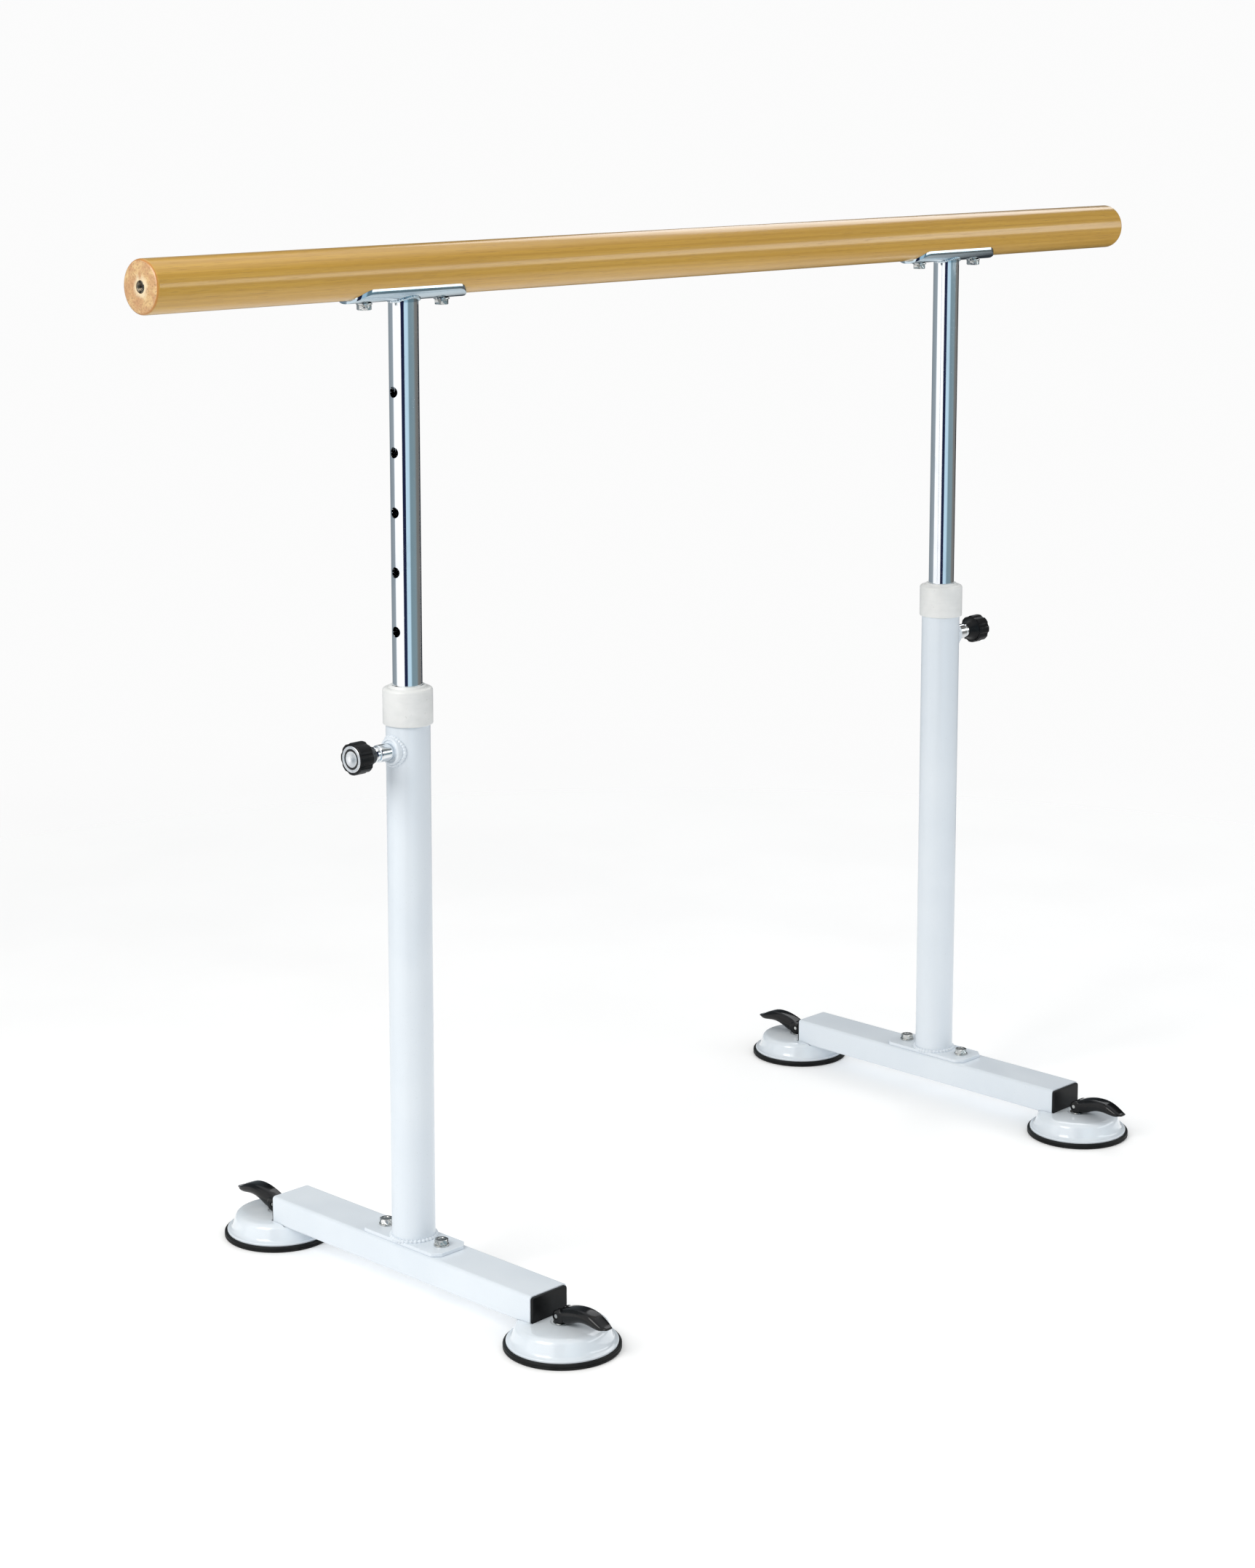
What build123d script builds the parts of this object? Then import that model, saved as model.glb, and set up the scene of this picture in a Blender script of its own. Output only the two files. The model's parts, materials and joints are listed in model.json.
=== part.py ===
from build123d import *
import os

# Free-standing ballet barre on two T-shaped feet with lever suction cups.
# X runs along the wooden bar, Y along the foot beams, +Z is up, and z = 0 is the floor.

# wooden bar
bar_length = 1500.0
bar_radius = 26.0
bar_axis_z = 1050.0
bar_edge_round = 3.0

# threaded inserts in the bar
insert_radius = 6.0
end_insert_length = 16.0
end_thread_radius = 3.4
end_slot_width = 1.6
end_slot_depth = 1.5
saddle_insert_length = 20.0
saddle_insert_recess = 1.0

# curved saddle plates under the bar
post_x = 430.0
plate_thickness = 3.0
plate_gap = 0.05
plate_length = 152.0
plate_width = 43.0
plate_corner = 20.0
plate_bolt_x = 51.0

# M8 fasteners
m8_radius = 4.0
m8_hole_radius = 4.3
m8_thread_clearance = 0.05
m8_flats = 13.0
m8_head_height = 5.3
m8_nut_height = 6.5
m8_washer_radius = 8.0
m8_washer_thickness = 1.6

# telescopic post
inner_tube_radius = 15.0
outer_tube_radius = 22.5
tube_wall = 1.5
inner_tube_bottom = 480.0
outer_tube_top = 628.0
weld_leg = 3.5
hole_pitch = 60.0
hole_count = 7
hole_radius = 5.5
glide_gap = 0.3
glide_height = 30.0
glide_spigot = 20.0

# nylon collar on top of the outer tube
collar_bottom = 596.0
collar_top = 636.0
collar_radius = 25.4
collar_lip_top_radius = 18.5
collar_lip_drop = 5.0
collar_bush_length = 34.0
collar_tube_gap = 0.05

# pull pin, at the height of the lowest hole
pin_z = 571.0
boss_radius = 14.0
boss_reach = 26.0
housing_neck_radius = 7.0
housing_neck_start = 19.8
housing_radius = 8.8
housing_shoulder = 42.0
sleeve_radius = 7.8
sleeve_end = 47.0
sleeve_wall_end = 3.0
plunger_radius = 5.0
pin_running_gap = 0.05
plunger_tip = 11.0
plunger_tip_round = 1.2
flange_start = 29.0
flange_end = 31.0
flange_radius = 6.0
chamber_start = 28.8
chamber_radius = 6.4
rod_radius = 3.0
rod_end = 70.0
knob_start = 48.0
knob_neck_end = 59.0
knob_neck_radius = 13.0
knob_neck_taper = 4.5
knob_end = 76.0
knob_radius = 16.3
knob_edge_round = 2.0
knob_lobes = 8
knob_lobe_depth = 1.8
knob_lobe_cut_radius = 5.0
disc_radius = 13.6
disc_recess_radius = 13.8
disc_thickness = 1.2
spring_wire_radius = 0.45
spring_coils = 5.5

# foot plate and foot beam
beam_bottom = 23.0
beam_height = 30.0
beam_width = 50.0
beam_length = 394.0
beam_wall = 1.5
beam_corner = 3.0
cap_thickness = 3.0
cap_inset = 1.1
cap_plug_depth = 11.0
cap_plug_gap = 0.2
foot_plate_length = 118.0
foot_plate_width = 46.0
foot_plate_thickness = 4.0
foot_plate_chamfer = 8.0
post_bolt_y = 42.0
post_bolt_length = 40.0

# suction cup
cup_y = 217.0
pad_radius = 59.0
pad_height = 6.0
pad_ring_inner = 52.0
pad_web_bottom = 3.8
pad_web_top = 6.8
pad_web_radius = 46.0
dome_flange_radius = 56.0
dome_flange_top = 8.6
dome_wall_foot_radius = 51.2
dome_wall_top_radius = 47.8
dome_wall_top = 20.5
dome_shoulder_radius = 42.5
dome_shoulder_top = 25.5
dome_top_radius = 13.5
dome_top = 26.5
dome_seat_radius = 11.0
dome_seat_top = 25.3
dome_inner_top = 18.5
dome_skin = 3.0
dome_guide_radius = 10.0
dome_guide_bottom = 17.0
beam_side_gap = 0.3
cup_screw_radius = 2.5
cup_screw_x = 14.0
cup_screw_y = 181.0
cup_screw_head_radius = 5.0
cup_screw_head_height = 3.0
cup_screw_length = 8.0
screw_gap = 0.2

# lifting stud and cam lever of a suction cup
stud_radius = 3.0
stud_gap = 0.06
stud_plate_radius = 14.0
stud_plate_thickness = 2.0
eye_radius = 4.8
eye_width = 6.0
lever_pin_radius = 2.0
lever_pin_length = 18.0
lever_pin_gap = 0.05
cam_washer_radius = 9.0
cam_washer_thickness = 1.2
cam_radius = 7.25
cam_offset = 2.5
cam_gap = 0.3
lever_width = 19.0
slot_width = 6.8
slot_reach = 5.3
slot_mouth = 3.0

sides = {"left": -1, "right": 1}
ends = {"front": -1, "back": 1}

os.makedirs("parts", exist_ok=True)


def save(name, solid):
    export_step(solid, "parts/" + name + ".step")


def group(solids):
    return Compound(children=list(solids))


def rod(radius, low, high):
    """A vertical cylinder between two heights."""
    return Pos(0, 0, (low + high) / 2) * Cylinder(radius, high - low)


def ring(outer, inner, low, high):
    return rod(outer, low, high) - rod(inner, low - 1, high + 1)


def hexagon(flats, low, high):
    across_corners = flats / 3 ** 0.5
    return Pos(0, 0, low) * extrude(RegularPolygon(across_corners, 6), high - low)


def bar_axis(solid):
    """Turns a vertical solid to lie along the bar, at the bar's height."""
    return Pos(0, 0, bar_axis_z) * Rot(0, 90, 0) * solid


def at_posts(solid):
    return [Pos(sign * post_x, 0, 0) * solid for sign in sides.values()]


def outward(side, solid):
    """Turns a vertical solid so that its height runs outwards from a post's axis at the pin."""
    return Pos(sides[side] * post_x, 0, pin_z) * Rot(0, sides[side] * 90, 0) * solid


# ---------------------------------------------------------------- bar and its fasteners
plate_outer = bar_radius + plate_gap + plate_thickness
plate_underside = bar_axis_z - plate_outer
insert_mouth = bar_axis_z - bar_radius + saddle_insert_recess
bolt_offsets = (-plate_bolt_x, plate_bolt_x)
bolt_places = [(sign * post_x + offset, 0) for sign in sides.values() for offset in bolt_offsets]


def make_bar():
    wood = bar_axis(Cylinder(bar_radius, bar_length))
    wood = fillet(wood.edges().filter_by(GeomType.CIRCLE), bar_edge_round)
    for end in (-1, 1):
        middle = end * (bar_length - end_insert_length) / 2
        wood -= Pos(middle, 0, 0) * bar_axis(Cylinder(insert_radius, end_insert_length))
    for x, y in bolt_places:
        top = insert_mouth + saddle_insert_length
        wood -= Pos(x, y, 0) * rod(insert_radius, bar_axis_z - bar_radius - 1, top)
    return wood


def make_end_insert(end):
    insert = Cylinder(insert_radius, end_insert_length) - Cylinder(end_thread_radius, end_insert_length + 2)
    slot = Box(2 * insert_radius + 2, end_slot_width, 2 * end_slot_depth)
    insert -= Pos(0, 0, end * end_insert_length / 2) * slot
    return Pos(end * (bar_length - end_insert_length) / 2, 0, 0) * bar_axis(insert)


def make_saddle_insert():
    thread = m8_radius + m8_thread_clearance
    return ring(insert_radius, thread, insert_mouth, insert_mouth + saddle_insert_length)


def make_saddle_plate():
    shell = Cylinder(plate_outer, plate_length) - Cylinder(bar_radius + plate_gap, plate_length + 2)
    outline = extrude(RectangleRounded(plate_length, plate_width, plate_corner), bar_radius)
    plate = bar_axis(shell) & (Pos(0, 0, plate_underside - 1) * outline)
    for offset in bolt_offsets:
        plate -= Pos(offset, 0, 0) * rod(m8_hole_radius, plate_underside - 5, bar_axis_z)
    return plate


def make_bolt(head_face, length, direction):
    """An M8 hex bolt whose head sits on head_face and whose shank runs up (1) or down (-1)."""
    head = hexagon(m8_flats, 0, m8_head_height)
    head &= chamfer(rod(m8_flats * 0.577, 0, m8_head_height).edges().group_by(Axis.Z)[-1], 0.7)
    shank = chamfer(rod(m8_radius, -length, 0).edges().group_by(Axis.Z)[0], 0.8)
    bolt = head + shank
    if direction > 0:
        bolt = Rot(180, 0, 0) * bolt
    return Pos(0, 0, head_face) * bolt


def make_washer(low):
    return ring(m8_washer_radius, m8_hole_radius, low, low + m8_washer_thickness)


saddle_bolt_face = plate_underside - m8_washer_thickness
saddle_bolt_length = insert_mouth + saddle_insert_length - 3 - saddle_bolt_face

save("wood_bar", make_bar())
save("bar_end_inserts", group(make_end_insert(end) for end in (-1, 1)))
save("saddle_inserts", group(Pos(x, y, 0) * make_saddle_insert() for x, y in bolt_places))
save("saddle_washers", group(Pos(x, y, 0) * make_washer(saddle_bolt_face) for x, y in bolt_places))
save("saddle_bolts", group(Pos(x, y, 0) * make_bolt(saddle_bolt_face, saddle_bolt_length, 1)
                           for x, y in bolt_places))
for side, sign in sides.items():
    save(side + "_saddle_plate", Pos(sign * post_x, 0, 0) * make_saddle_plate())


# ---------------------------------------------------------------- telescopic posts
def make_inner_tube(sign):
    tube = ring(inner_tube_radius, inner_tube_radius - tube_wall, inner_tube_bottom, bar_axis_z)
    tube -= bar_axis(Cylinder(plate_outer, 4 * inner_tube_radius))
    for step in range(hole_count):
        drill = Rot(0, 90, 0) * Cylinder(hole_radius, inner_tube_radius)
        tube -= Pos(sign * inner_tube_radius, 0, pin_z + step * hole_pitch) * drill
    return tube


def make_glide():
    bore = outer_tube_radius - tube_wall
    glide = rod(bore - glide_gap, inner_tube_bottom - glide_height, inner_tube_bottom)
    glide += rod(inner_tube_radius - tube_wall, inner_tube_bottom, inner_tube_bottom + glide_spigot)
    return glide - rod(inner_tube_radius / 2, 0, bar_axis_z)


plate_top = beam_bottom + beam_height + foot_plate_thickness


def make_outer_tube(sign):
    tube = rod(outer_tube_radius, plate_top, outer_tube_top)
    weld = Cone(outer_tube_radius + weld_leg, outer_tube_radius, weld_leg)
    tube += Pos(0, 0, plate_top + weld_leg / 2) * weld
    tube -= rod(outer_tube_radius - tube_wall, plate_top - 1, outer_tube_top + 1)
    tube -= Pos(sign * outer_tube_radius, 0, pin_z) * Rot(0, 90, 0) * Cylinder(housing_neck_radius, 12)
    return tube


def make_collar():
    """Cap around the tube's mouth, with a bush that runs down inside it."""
    bush_outer = outer_tube_radius - tube_wall - collar_tube_gap
    bush_inner = inner_tube_radius + glide_gap
    rim = collar_top - collar_lip_drop
    with BuildSketch(Plane.XZ) as section:
        with BuildLine():
            Polyline(
                (bush_inner, outer_tube_top - collar_bush_length),
                (bush_inner, collar_top),
                (collar_lip_top_radius, collar_top),
                (collar_radius - 1.5, rim + 1),
                (collar_radius, rim - 1),
                (collar_radius, collar_bottom + 1),
                (collar_radius - 1, collar_bottom),
                (outer_tube_radius + collar_tube_gap, collar_bottom),
                (outer_tube_radius + collar_tube_gap, outer_tube_top),
                (bush_outer, outer_tube_top),
                (bush_outer, outer_tube_top - collar_bush_length),
                close=True,
            )
        make_face()
    return revolve(section.sketch, Axis.Z)


for side, sign in sides.items():
    save(side + "_inner_tube", Pos(sign * post_x, 0, 0) * make_inner_tube(sign))
    save(side + "_outer_tube", Pos(sign * post_x, 0, 0) * make_outer_tube(sign))
    save(side + "_collar", Pos(sign * post_x, 0, 0) * make_collar())
save("inner_tube_glides", group(at_posts(make_glide())))


# ---------------------------------------------------------------- pull pins
def make_pin_boss():
    boss = rod(boss_radius, outer_tube_radius - 8, boss_reach)
    boss -= Rot(0, 90, 0) * Cylinder(outer_tube_radius, 4 * boss_radius)
    return boss - rod(housing_neck_radius, 0, boss_reach + 1)


def make_pin_housing():
    housing = rod(housing_neck_radius, housing_neck_start, boss_reach)
    housing += chamfer(rod(housing_radius, boss_reach, housing_shoulder).edges().group_by(Axis.Z)[-1], 0.6)
    housing += chamfer(rod(sleeve_radius, housing_shoulder, sleeve_end).edges().group_by(Axis.Z)[-1], 0.8)
    housing -= rod(plunger_radius + pin_running_gap, 0, chamber_start)
    housing -= rod(chamber_radius, chamber_start, sleeve_end - sleeve_wall_end)
    return housing - rod(rod_radius + pin_running_gap, chamber_start, sleeve_end + 1)


def make_plunger():
    plunger = rod(plunger_radius, plunger_tip, flange_start)
    plunger = chamfer(plunger.edges().group_by(Axis.Z)[0], plunger_tip_round)
    plunger += rod(flange_radius, flange_start, flange_end)
    return plunger + rod(rod_radius, flange_end, rod_end)


def make_knob():
    neck_height = knob_neck_end - knob_start
    neck = Cone(knob_neck_radius - knob_neck_taper, knob_neck_radius, neck_height)
    knob = Pos(0, 0, knob_start + neck_height / 2) * neck
    head = rod(knob_radius, knob_neck_end, knob_end)
    head = fillet(head.edges().filter_by(GeomType.CIRCLE), knob_edge_round)
    reach = knob_radius + knob_lobe_cut_radius - knob_lobe_depth
    for lobe in range(knob_lobes):
        flute = Pos(reach, 0, 0) * rod(knob_lobe_cut_radius, knob_neck_end, knob_end)
        head -= Rot(0, 0, 360 / knob_lobes * lobe) * flute
    knob += head
    knob -= rod(disc_recess_radius, knob_end - disc_thickness, knob_end + 1)
    return knob - rod(rod_radius, knob_start - 1, rod_end)


def make_knob_disc():
    return fillet(rod(disc_radius, knob_end - disc_thickness, knob_end).edges().group_by(Axis.Z)[-1], 0.4)


def make_pin_spring():
    coil_radius = (rod_radius + chamber_radius) / 2
    low = flange_end + spring_wire_radius
    high = sleeve_end - sleeve_wall_end - spring_wire_radius
    path = Pos(0, 0, low) * Helix((high - low) / spring_coils, high - low, coil_radius)
    start = Plane(path @ 0, z_dir=path % 0)
    return sweep(start * Circle(spring_wire_radius), path, is_frenet=True)


for side in sides:
    save(side + "_pin_boss", outward(side, make_pin_boss()))
    save(side + "_pin_housing", outward(side, make_pin_housing()))
    save(side + "_pin_plunger", outward(side, make_plunger()))
    save(side + "_pin_knob", outward(side, make_knob()))
    save(side + "_pin_knob_disc", outward(side, make_knob_disc()))
    save(side + "_pin_spring", outward(side, make_pin_spring()))


# ---------------------------------------------------------------- feet
beam_mid = beam_bottom + beam_height / 2
post_bolt_face = plate_top + m8_washer_thickness
nut_low = beam_bottom + beam_wall
screw_face = beam_bottom - dome_skin


def make_foot_plate():
    outline = chamfer(Rectangle(foot_plate_width, foot_plate_length).vertices(), foot_plate_chamfer)
    plate = Pos(0, 0, beam_bottom + beam_height) * extrude(outline, foot_plate_thickness)
    for y in (-post_bolt_y, post_bolt_y):
        plate -= Pos(0, y, 0) * rod(m8_hole_radius, beam_bottom, plate_top + 1)
    return plate


def make_foot_beam():
    hollow_width = beam_width - 2 * beam_wall
    hollow_height = beam_height - 2 * beam_wall
    section = RectangleRounded(beam_width, beam_height, beam_corner)
    section -= RectangleRounded(hollow_width, hollow_height, beam_corner - beam_wall)
    beam = Pos(0, beam_length / 2, beam_mid) * Rot(90, 0, 0) * extrude(section, beam_length)
    for y in (-post_bolt_y, post_bolt_y):
        beam -= Pos(0, y, 0) * rod(m8_hole_radius, beam_bottom - 1, plate_top + 1)
    for x, y in cup_screw_places():
        beam -= Pos(x, y, 0) * rod(cup_screw_radius, beam_bottom - 1, beam_bottom + beam_wall + 1)
    return beam


def cup_screw_places():
    return [(x, y) for x in (-cup_screw_x, cup_screw_x) for y in (-cup_screw_y, cup_screw_y)]


def make_end_cap(sign):
    """A plug with a face plate that rests on the beam's end and leaves a narrow rim of it bare."""
    face_width = beam_width - 2 * cap_inset
    face_height = beam_height - 2 * cap_inset
    face = extrude(RectangleRounded(face_width, face_height, beam_corner), cap_thickness)
    plug_width = beam_width - 2 * beam_wall - 2 * cap_plug_gap
    plug_height = beam_height - 2 * beam_wall - 2 * cap_plug_gap
    plug = extrude(RectangleRounded(plug_width, plug_height, beam_corner - beam_wall), -cap_plug_depth)
    plug -= Pos(0, 0, -cap_plug_depth / 2 - 1) * Box(plug_width - 5, plug_height - 5, cap_plug_depth)
    return Pos(0, sign * beam_length / 2, beam_mid) * Rot(-sign * 90, 0, 0) * (face + plug)


def make_weld_nut():
    nut = hexagon(m8_flats, nut_low, nut_low + m8_nut_height)
    return nut - rod(m8_radius + m8_thread_clearance, 0, plate_top)


post_places = [(sign * post_x, y) for sign in sides.values() for y in (-post_bolt_y, post_bolt_y)]
for side, sign in sides.items():
    save(side + "_foot_plate", Pos(sign * post_x, 0, 0) * make_foot_plate())
    save(side + "_foot_beam", Pos(sign * post_x, 0, 0) * make_foot_beam())
caps = [Pos(sign * post_x, 0, 0) * make_end_cap(end) for sign in sides.values() for end in (-1, 1)]
save("beam_end_caps", group(caps))
save("post_bolts", group(Pos(x, y, 0) * make_bolt(post_bolt_face, post_bolt_length, -1)
                         for x, y in post_places))
save("post_washers", group(Pos(x, y, 0) * make_washer(plate_top) for x, y in post_places))
save("post_weld_nuts", group(Pos(x, y, 0) * make_weld_nut() for x, y in post_places))


# ---------------------------------------------------------------- suction cups
def make_pad():
    """Round rubber pad: a ring on the floor around a web that the stud lifts."""
    with BuildSketch(Plane.XZ) as section:
        with BuildLine():
            Polyline(
                (0, pad_web_bottom),
                (pad_web_radius - 6, pad_web_bottom),
                (pad_ring_inner, 0),
                (pad_radius - 1.2, 0),
                (pad_radius, 1.2),
                (pad_radius, pad_height - 1.2),
                (pad_radius - 1.2, pad_height),
                (pad_web_radius, pad_height),
                (pad_web_radius - 6, pad_web_top),
                (0, pad_web_top),
                close=True,
            )
        make_face()
    return revolve(section.sketch, Axis.Z)


def make_dome(sign):
    """Nearly flat top over a steep wall with a lip, hollow below, with a seat for the beam's end."""
    inner_shoulder = dome_wall_top_radius - dome_skin
    with BuildSketch(Plane.XZ) as section:
        with BuildLine():
            Polyline(
                (stud_radius + stud_gap, dome_guide_bottom),
                (stud_radius + stud_gap, dome_seat_top),
                (dome_seat_radius, dome_seat_top),
                (dome_seat_radius + 0.8, dome_top),
                (dome_top_radius, dome_top),
                (dome_shoulder_radius, dome_shoulder_top),
            )
            ThreePointArc(
                (dome_shoulder_radius, dome_shoulder_top),
                (dome_wall_top_radius - 1.4, dome_wall_top + 3.4),
                (dome_wall_top_radius, dome_wall_top),
            )
            Polyline(
                (dome_wall_top_radius, dome_wall_top),
                (dome_wall_foot_radius, dome_flange_top + 1.5),
                (dome_wall_foot_radius + 1.5, dome_flange_top),
                (dome_flange_radius, dome_flange_top),
                (dome_flange_radius, pad_height),
                (dome_wall_foot_radius - dome_skin, pad_height),
                (inner_shoulder, dome_inner_top),
                (dome_guide_radius, dome_inner_top + 1),
                (dome_guide_radius, dome_guide_bottom),
                (stud_radius + stud_gap, dome_guide_bottom),
            )
        make_face()
    dome = revolve(section.sketch, Axis.Z)
    seat_end = cup_y - beam_length / 2 - cap_thickness - beam_side_gap
    seat = Box(beam_width + 2 * beam_side_gap, 2 * pad_radius, beam_height)
    dome -= Pos(0, -sign * (seat_end + pad_radius), beam_bottom + beam_height / 2) * seat
    screw_hole = rod(cup_screw_radius + screw_gap, dome_guide_bottom, beam_bottom + 1)
    screw_hole += rod(cup_screw_head_radius + screw_gap, 0, screw_face)
    for x in (-cup_screw_x, cup_screw_x):
        dome -= Pos(x, -sign * (cup_y - cup_screw_y), 0) * screw_hole
    return dome



def make_cup_screw():
    head = rod(cup_screw_head_radius, screw_face - cup_screw_head_height, screw_face)
    return head + rod(cup_screw_radius, screw_face, screw_face + cup_screw_length)


def make_cam_washer():
    return ring(cam_washer_radius, stud_radius + stud_gap, dome_seat_top, dome_seat_top + cam_washer_thickness)


pivot_z = dome_seat_top + cam_washer_thickness + cam_gap + cam_radius


def across(radius, length):
    """A cylinder along the lever's hinge axis, at the height of the pin."""
    return Pos(0, 0, pivot_z) * Rot(0, 90, 0) * Cylinder(radius, length)


def make_stud():
    """Rod with a plate on the pad and a flat eye for the lever's pin."""
    stud = rod(stud_plate_radius, pad_web_top, pad_web_top + stud_plate_thickness)
    stud += rod(stud_radius, pad_web_top, pivot_z)
    stud += across(eye_radius, eye_width)
    return stud - across(lever_pin_radius, lever_width)


def make_lever():
    """Thick arched arm on an eccentric hub; it points along +Y from the pin, and its width is along X."""
    with BuildSketch(Plane.YZ) as arm_section:
        with BuildLine():
            Spline((cam_offset, 7.25), (16, 11.6), (34, 13.4), (48, 11.6), (59, 6.2), (64.5, 3.8))
            Spline((64.5, 3.8), (62, 1.8), (54, 1.5), (44, 2.7), (32, 1.8), (21, -2.4), (12, -6.2), (8, -6.4))
            Line((8, -6.4), (cam_offset, 0))
            Line((cam_offset, 0), (cam_offset, 7.25))
        make_face()
    lever = Pos(0, 0, pivot_z) * extrude(arm_section.sketch, lever_width / 2, both=True)
    lever += Pos(0, cam_offset, 0) * across(cam_radius, lever_width)
    slot = Box(slot_width, 4 * cam_radius, 4 * cam_radius)
    lever -= Pos(0, slot_reach - 2 * cam_radius, pivot_z + slot_reach - 2 * cam_radius) * slot
    lever -= Pos(0, slot_mouth - 2 * cam_radius, pivot_z) * slot
    return lever - across(lever_pin_radius + lever_pin_gap, 2 * lever_width)


for side, side_sign in sides.items():
    for end, end_sign in ends.items():
        name = side + "_" + end
        place = Pos(side_sign * post_x, end_sign * cup_y, 0)
        turned = place * Rot(0, 0, 0 if end == "back" else 180)
        save(name + "_cup_pad", place * make_pad())
        save(name + "_cup_dome", place * make_dome(end_sign))
        save(name + "_cam_washer", place * make_cam_washer())
        save(name + "_cup_stud", place * make_stud())
        save(name + "_lever_pin", place * across(lever_pin_radius, lever_pin_length))
        save(name + "_lever", turned * make_lever())

screw_places = [(sign * post_x + x, y) for sign in sides.values() for x, y in cup_screw_places()]
save("cup_screws", group(Pos(x, y, 0) * make_cup_screw() for x, y in screw_places))
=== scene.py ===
import bpy
import json
import math
from mathutils import Matrix, Vector


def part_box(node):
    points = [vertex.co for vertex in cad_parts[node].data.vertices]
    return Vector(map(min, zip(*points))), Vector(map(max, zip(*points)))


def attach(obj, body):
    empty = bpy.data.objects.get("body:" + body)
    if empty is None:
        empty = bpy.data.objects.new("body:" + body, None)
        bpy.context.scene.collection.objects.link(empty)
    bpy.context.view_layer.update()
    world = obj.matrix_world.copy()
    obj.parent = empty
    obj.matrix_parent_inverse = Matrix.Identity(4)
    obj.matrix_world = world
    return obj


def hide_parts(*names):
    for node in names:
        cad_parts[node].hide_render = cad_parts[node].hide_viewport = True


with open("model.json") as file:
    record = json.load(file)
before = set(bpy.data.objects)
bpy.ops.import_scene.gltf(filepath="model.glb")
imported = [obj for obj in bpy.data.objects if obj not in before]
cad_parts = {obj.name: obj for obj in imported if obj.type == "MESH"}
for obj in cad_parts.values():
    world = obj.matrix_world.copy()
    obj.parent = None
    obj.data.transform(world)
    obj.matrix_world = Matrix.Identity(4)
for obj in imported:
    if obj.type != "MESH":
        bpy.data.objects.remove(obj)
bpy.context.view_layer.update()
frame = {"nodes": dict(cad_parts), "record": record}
print("frame loaded,", len(frame["nodes"]), "nodes")

mm = 0.001
sides = {"left": -1, "right": 1}
ends = {"front": -1, "back": 1}
slotOf = {row["node"]: row["material_slot"] for row in frame["record"]["subparts"]}


def middle(node):
    low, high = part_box(node)
    return (low + high) / 2


postX = middle("right_outer_tube").x
cupY = middle("right_back_cup_pad").y
pinZ = middle("right_pin_knob_disc").z
barZ = middle("wood_bar").z
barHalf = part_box("wood_bar")[1].x
leverPinZ = middle("right_back_lever_pin").z
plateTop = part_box("right_foot_plate")[1].z


# ---- camera, first, so that the framing is known
camera = {"place": (-2.464, -2.2685, 1.2485), "yaw": 46.03, "tilt": 9.04, "lens": 70.9, "rise": -0.1447}


def addCamera():
    turn = (math.radians(90 - camera["tilt"]), 0, math.radians(-camera["yaw"]))
    bpy.ops.object.camera_add(location=camera["place"], rotation=turn)
    eye = bpy.context.object
    eye.name = "barreCamera"
    eye.data.sensor_width = 36
    eye.data.lens = camera["lens"]
    eye.data.shift_y = camera["rise"]
    bpy.context.scene.camera = eye


addCamera()


# ---- shader nodes
class Wire:  # one socket, which Python arithmetic can work on
    def __init__(self, bench, socket):
        self.bench = bench
        self.socket = socket

    def maths(self, operation, first, second):
        return self.bench.node("ShaderNodeMath", {"operation": operation}, [first, second])

    def __add__(self, other):
        return self.maths("ADD", self, other)

    def __sub__(self, other):
        return self.maths("SUBTRACT", self, other)

    def __rsub__(self, other):
        return self.maths("SUBTRACT", other, self)

    def __mul__(self, other):
        return self.maths("MULTIPLY", self, other)

    def __truediv__(self, other):
        return self.maths("DIVIDE", self, other)

    __radd__ = __add__
    __rmul__ = __mul__


class Bench:  # where the nodes of one material or of the sky are laid out
    def __init__(self, tree):
        self.tree = tree

    def node(self, kind, settings=None, sockets=(), output=0):
        made = self.tree.nodes.new(kind)
        for key, value in (settings or {}).items():
            if key == "stops":
                self.setStops(made.color_ramp, value)
            else:
                setattr(made, key, value)
        pairs = sockets.items() if isinstance(sockets, dict) else enumerate(sockets)
        for name, value in pairs:
            if isinstance(value, Wire):
                self.tree.links.new(value.socket, made.inputs[name])
            else:
                made.inputs[name].default_value = value
        return Wire(self, made.outputs[output]) if made.outputs else None

    def setStops(self, ramp, stops):
        while len(ramp.elements) < len(stops):
            ramp.elements.new(0.5)
        for element, (position, colour) in zip(ramp.elements, stops):
            element.position = position
            element.color = (*colour, 1)

    def ranged(self, value, low, high, toLow=0.0, toHigh=1.0):
        how = {"interpolation_type": "SMOOTHSTEP", "clamp": True}
        return self.node("ShaderNodeMapRange", how, [value, low, high, toLow, toHigh])

    def mixed(self, factor, first, second):
        first, second = [(*c, 1) if isinstance(c, tuple) else c for c in (first, second)]
        how = {"data_type": "RGBA", "blend_type": "MIX"}
        return self.node("ShaderNodeMix", how, {0: factor, 6: first, 7: second}, output=2)


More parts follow.
